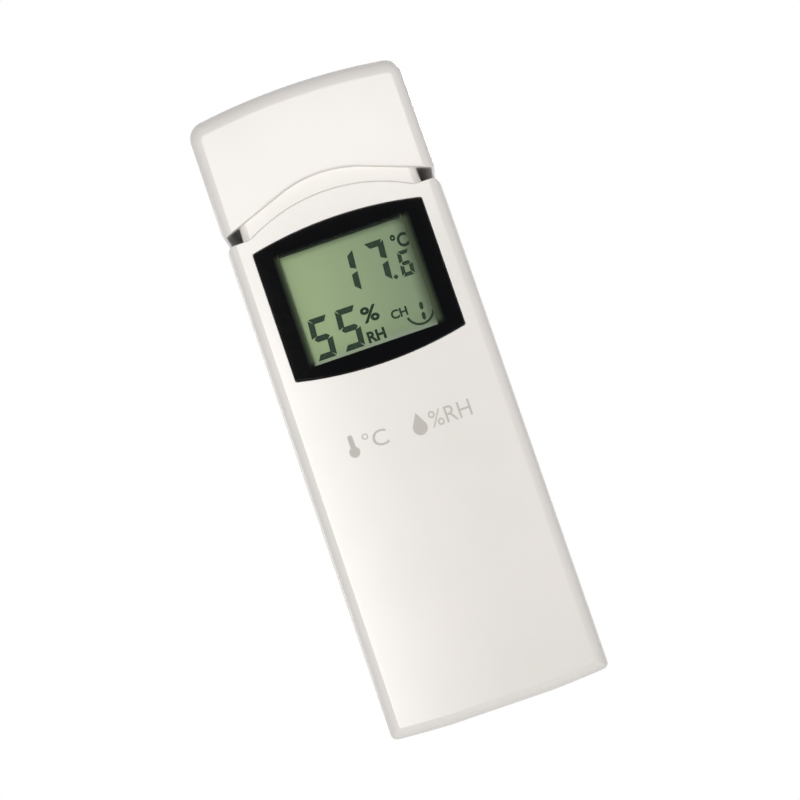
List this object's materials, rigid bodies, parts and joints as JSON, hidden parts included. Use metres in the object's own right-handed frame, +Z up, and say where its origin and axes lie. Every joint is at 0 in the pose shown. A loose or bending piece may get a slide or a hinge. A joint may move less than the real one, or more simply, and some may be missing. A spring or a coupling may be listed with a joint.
{
  "type": "temperature humidity sensor",
  "caption": "Slim upright wireless temperature and humidity sensor: white two-shell case with a vented neck under a cap, small display window, and battery bay behind a sliding rear door.",
  "frame": {"origin": "on the floor under the middle of the standing case", "axes": "+Z up along the case, +Y towards the back with the battery door, the display faces -Y"},
  "size_m": [0.041, 0.02, 0.12],
  "materials": {
    "white_case": "fine satin moulded ABS, warm white",
    "clear_window": "polished clear acrylic",
    "black_print": "gloss black ink behind the window",
    "display_green": "semi-matte grey-green polarising film",
    "display_glass": "polished glass with cut edges",
    "reflector": "satin foil",
    "dark_plastic": "matt moulded plastic, dark grey",
    "contact_rubber": "matt layered silicone rubber",
    "board_green": "green solder mask, semi-gloss",
    "screw_steel": "zinc-plated steel",
    "black_potting": "cured epoxy drop",
    "board_blue": "blue solder mask, semi-gloss",
    "tinned_metal": "tinned sheet, satin",
    "capacitor_sleeve": "shrink sleeve, gloss",
    "chip_ceramic": "ceramic body with tinned ends",
    "copper_wire": "lacquered copper wire",
    "sensor_white": "matt moulded package",
    "thermistor_lacquer": "dipped lacquer",
    "switch_blue": "moulded plastic, semi-gloss",
    "slider_white": "moulded plastic, white",
    "cell_sleeve": "printed shrink sleeve, gloss, over a steel can",
    "contact_metal": "nickel-plated spring steel"
  },
  "bodies": {
    "case": {"front_case": "white_case", "rear_case": "white_case", "display_window": "clear_window", "window_border": "black_print", "lcd_film": "display_green", "lcd_front_glass": "display_glass", "lcd_rear_glass": "display_glass", "lcd_reflector": "reflector", "lcd_holder": "dark_plastic", "contact_strips": "contact_rubber", "main_board": "board_green", "board_screws": "screw_steel", "case_screws": "screw_steel", "controller_blob": "black_potting", "radio_board": "board_blue", "radio_shield": "tinned_metal", "crystal_can": "tinned_metal", "capacitor": "capacitor_sleeve", "chip_parts": "chip_ceramic", "aerial_coil": "copper_wire", "humidity_sensor": "sensor_white", "thermistor": "thermistor_lacquer", "switch_body": "switch_blue", "aa_cell_left": "cell_sleeve", "aa_cell_right": "cell_sleeve", "link_contact": "contact_metal", "positive_contact": "contact_metal", "negative_contact": "contact_metal", "lower_spring": "contact_metal", "upper_spring": "contact_metal"},
    "door": {"battery_door": "white_case"},
    "slider_1": {"switch_slider_1": "slider_white"},
    "slider_2": {"switch_slider_2": "slider_white"},
    "slider_3": {"switch_slider_3": "slider_white"},
    "slider_4": {"switch_slider_4": "slider_white"}
  },
  "joints": [
    {"name": "door_slide", "type": "slide", "parent": "case", "child": "door", "axis": [0, 0, -1], "range_m": [0, 0.072]},
    {"name": "slider_1_travel", "type": "slide", "parent": "case", "child": "slider_1", "axis": [0, 0, 1], "range_m": [0, 0.0012]},
    {"name": "slider_2_travel", "type": "slide", "parent": "case", "child": "slider_2", "axis": [0, 0, 1], "range_m": [0, 0.0012]},
    {"name": "slider_3_travel", "type": "slide", "parent": "case", "child": "slider_3", "axis": [0, 0, 1], "range_m": [0, 0.0012]},
    {"name": "slider_4_travel", "type": "slide", "parent": "case", "child": "slider_4", "axis": [0, 0, 1], "range_m": [0, 0.0012]}
  ]
}
